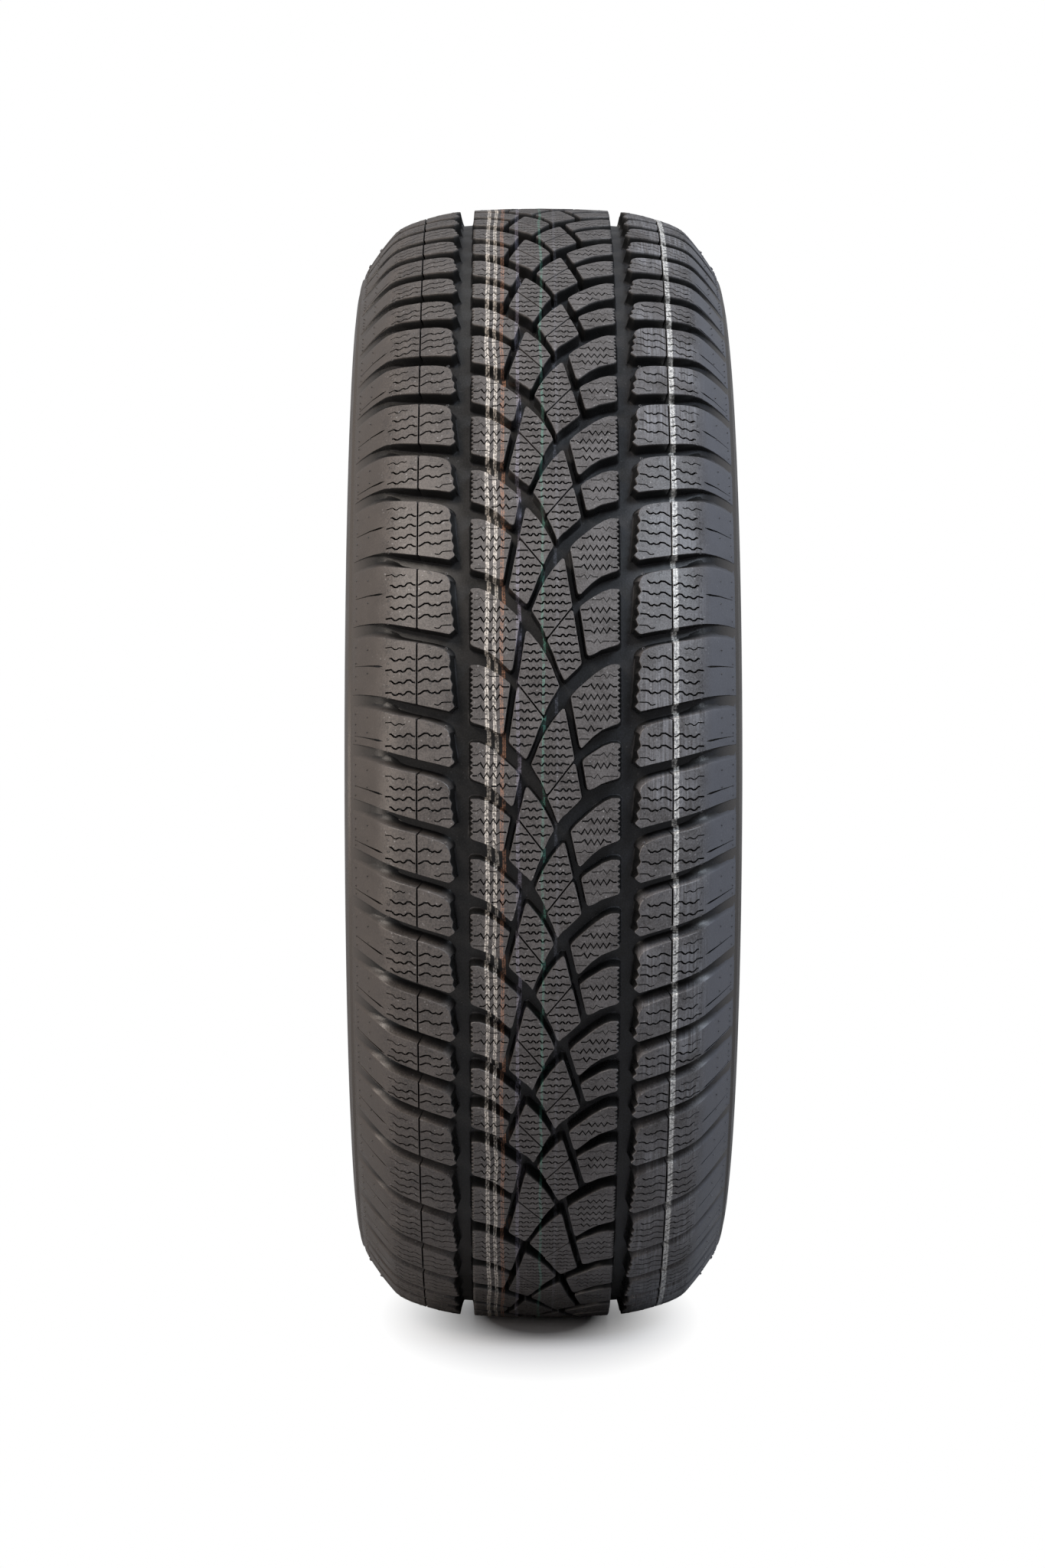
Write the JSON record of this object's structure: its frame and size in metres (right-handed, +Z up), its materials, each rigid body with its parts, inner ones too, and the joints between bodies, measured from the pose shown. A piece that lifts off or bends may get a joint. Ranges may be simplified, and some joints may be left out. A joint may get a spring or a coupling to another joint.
{
  "type": "car tyre",
  "caption": "Unmounted radial car tyre, 205/60 R16 size, with a directional block tread, standing upright on its tread.",
  "frame": {"origin": "wheel centre: on the tyre's axis, halfway between the two bead seats", "axes": "+Y along the axle, +Z up, +X towards the side of the tread seen in the picture; the tyre stands on its tread at -Z"},
  "size_m": [0.6524, 0.211, 0.6509],
  "materials": {
    "tyre": "dark grey moulded rubber, dull on the block tops"
  },
  "bodies": {
    "root": {"tyre": "tyre"}
  },
  "joints": []
}
